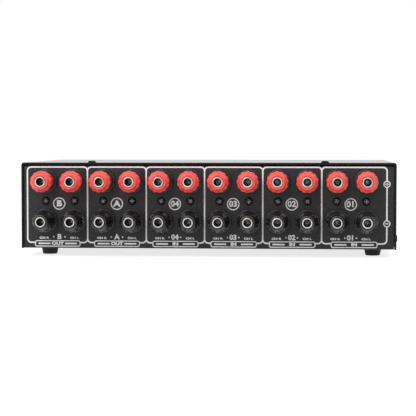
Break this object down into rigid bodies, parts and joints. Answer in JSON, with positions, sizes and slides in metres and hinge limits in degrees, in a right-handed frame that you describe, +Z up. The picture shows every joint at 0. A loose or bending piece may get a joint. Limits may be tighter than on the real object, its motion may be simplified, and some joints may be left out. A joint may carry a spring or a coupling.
{
  "type": "speaker selector switch",
  "caption": "Low black steel box with paired red and black screw-cap banana terminals across the rear wall and rotary selector knobs in front.",
  "frame": {"origin": "on the table, under the middle of the whole object", "axes": "+Z up, +Y out of the rear wall with the terminals, -Y out of the front with the knobs, +X to the right seen from the front"},
  "size_m": [0.2526, 0.182, 0.0643],
  "materials": {
    "black_powder_coat": "fine textured black powder coat",
    "black_anodised": "brushed and anodised black",
    "black_rubber": "matt",
    "black_screw": "black zinc",
    "black_plastic": "moulded, semi-gloss",
    "red_plastic": "moulded, semi-gloss",
    "nickel": "bright nickel plate",
    "zinc": "zinc plate",
    "circuit_board": "green solder resist",
    "white_plastic": "moulded nylon",
    "wire_sleeve": "woven sleeve",
    "phenolic": "punched phenolic sheet",
    "knob_aluminium": "turned and anodised black"
  },
  "bodies": {
    "case": {"chassis_tray": "black_powder_coat", "top_cover": "black_powder_coat", "front_panel": "black_anodised", "rubber_feet": "black_rubber", "cover_screws": "black_screw", "terminal_screws": "black_screw", "terminal_flanges": "black_plastic", "terminal_posts": "nickel", "terminal_blocks": "black_plastic", "rear_board": "circuit_board", "wire_headers": "white_plastic", "input_loom": "wire_sleeve", "input_switch_housing": "zinc", "input_switch_wafers": "phenolic", "input_switch_spacers": "zinc", "input_lock_washer": "zinc", "input_bush_nut": "nickel", "output_loom": "wire_sleeve", "output_switch_housing": "zinc", "output_switch_wafers": "phenolic", "output_switch_spacers": "zinc", "output_lock_washer": "zinc", "output_bush_nut": "nickel"},
    "input_selector": {"input_knob": "knob_aluminium", "input_grub_screw": "black_screw", "input_shaft": "nickel", "input_rotors": "black_plastic"},
    "output_selector": {"output_knob": "knob_aluminium", "output_grub_screw": "black_screw", "output_shaft": "nickel", "output_rotors": "black_plastic"},
    "red_cap_01": {"red_cap_01": "red_plastic"},
    "black_cap_01": {"black_cap_01": "black_plastic"},
    "red_cap_02": {"red_cap_02": "red_plastic"},
    "black_cap_02": {"black_cap_02": "black_plastic"},
    "red_cap_03": {"red_cap_03": "red_plastic"},
    "black_cap_03": {"black_cap_03": "black_plastic"},
    "red_cap_04": {"red_cap_04": "red_plastic"},
    "black_cap_04": {"black_cap_04": "black_plastic"},
    "red_cap_05": {"red_cap_05": "red_plastic"},
    "black_cap_05": {"black_cap_05": "black_plastic"},
    "red_cap_06": {"red_cap_06": "red_plastic"},
    "black_cap_06": {"black_cap_06": "black_plastic"},
    "red_cap_07": {"red_cap_07": "red_plastic"},
    "black_cap_07": {"black_cap_07": "black_plastic"},
    "red_cap_08": {"red_cap_08": "red_plastic"},
    "black_cap_08": {"black_cap_08": "black_plastic"},
    "red_cap_09": {"red_cap_09": "red_plastic"},
    "black_cap_09": {"black_cap_09": "black_plastic"},
    "red_cap_10": {"red_cap_10": "red_plastic"},
    "black_cap_10": {"black_cap_10": "black_plastic"},
    "red_cap_11": {"red_cap_11": "red_plastic"},
    "black_cap_11": {"black_cap_11": "black_plastic"},
    "red_cap_12": {"red_cap_12": "red_plastic"},
    "black_cap_12": {"black_cap_12": "black_plastic"}
  },
  "joints": [
    {"name": "input_turn", "type": "hinge", "parent": "case", "child": "input_selector", "pos_m": [-0.0625, -0.0845, 0.0343], "axis": [0, 1, 0], "range_deg": [0, 90]},
    {"name": "output_turn", "type": "hinge", "parent": "case", "child": "output_selector", "pos_m": [0.0625, -0.0845, 0.0343], "axis": [0, 1, 0], "range_deg": [0, 60]},
    {"name": "red_cap_01_out", "type": "slide", "parent": "case", "child": "red_cap_01", "axis": [0, 1, 0], "range_m": [0, 0.0055]},
    {"name": "black_cap_01_out", "type": "slide", "parent": "case", "child": "black_cap_01", "axis": [0, 1, 0], "range_m": [0, 0.0055]},
    {"name": "red_cap_02_out", "type": "slide", "parent": "case", "child": "red_cap_02", "axis": [0, 1, 0], "range_m": [0, 0.0055]},
    {"name": "black_cap_02_out", "type": "slide", "parent": "case", "child": "black_cap_02", "axis": [0, 1, 0], "range_m": [0, 0.0055]},
    {"name": "red_cap_03_out", "type": "slide", "parent": "case", "child": "red_cap_03", "axis": [0, 1, 0], "range_m": [0, 0.0055]},
    {"name": "black_cap_03_out", "type": "slide", "parent": "case", "child": "black_cap_03", "axis": [0, 1, 0], "range_m": [0, 0.0055]},
    {"name": "red_cap_04_out", "type": "slide", "parent": "case", "child": "red_cap_04", "axis": [0, 1, 0], "range_m": [0, 0.0055]},
    {"name": "black_cap_04_out", "type": "slide", "parent": "case", "child": "black_cap_04", "axis": [0, 1, 0], "range_m": [0, 0.0055]},
    {"name": "red_cap_05_out", "type": "slide", "parent": "case", "child": "red_cap_05", "axis": [0, 1, 0], "range_m": [0, 0.0055]},
    {"name": "black_cap_05_out", "type": "slide", "parent": "case", "child": "black_cap_05", "axis": [0, 1, 0], "range_m": [0, 0.0055]},
    {"name": "red_cap_06_out", "type": "slide", "parent": "case", "child": "red_cap_06", "axis": [0, 1, 0], "range_m": [0, 0.0055]},
    {"name": "black_cap_06_out", "type": "slide", "parent": "case", "child": "black_cap_06", "axis": [0, 1, 0], "range_m": [0, 0.0055]},
    {"name": "red_cap_07_out", "type": "slide", "parent": "case", "child": "red_cap_07", "axis": [0, 1, 0], "range_m": [0, 0.0055]},
    {"name": "black_cap_07_out", "type": "slide", "parent": "case", "child": "black_cap_07", "axis": [0, 1, 0], "range_m": [0, 0.0055]},
    {"name": "red_cap_08_out", "type": "slide", "parent": "case", "child": "red_cap_08", "axis": [0, 1, 0], "range_m": [0, 0.0055]},
    {"name": "black_cap_08_out", "type": "slide", "parent": "case", "child": "black_cap_08", "axis": [0, 1, 0], "range_m": [0, 0.0055]},
    {"name": "red_cap_09_out", "type": "slide", "parent": "case", "child": "red_cap_09", "axis": [0, 1, 0], "range_m": [0, 0.0055]},
    {"name": "black_cap_09_out", "type": "slide", "parent": "case", "child": "black_cap_09", "axis": [0, 1, 0], "range_m": [0, 0.0055]},
    {"name": "red_cap_10_out", "type": "slide", "parent": "case", "child": "red_cap_10", "axis": [0, 1, 0], "range_m": [0, 0.0055]},
    {"name": "black_cap_10_out", "type": "slide", "parent": "case", "child": "black_cap_10", "axis": [0, 1, 0], "range_m": [0, 0.0055]},
    {"name": "red_cap_11_out", "type": "slide", "parent": "case", "child": "red_cap_11", "axis": [0, 1, 0], "range_m": [0, 0.0055]},
    {"name": "black_cap_11_out", "type": "slide", "parent": "case", "child": "black_cap_11", "axis": [0, 1, 0], "range_m": [0, 0.0055]},
    {"name": "red_cap_12_out", "type": "slide", "parent": "case", "child": "red_cap_12", "axis": [0, 1, 0], "range_m": [0, 0.0055]},
    {"name": "black_cap_12_out", "type": "slide", "parent": "case", "child": "black_cap_12", "axis": [0, 1, 0], "range_m": [0, 0.0055]}
  ]
}
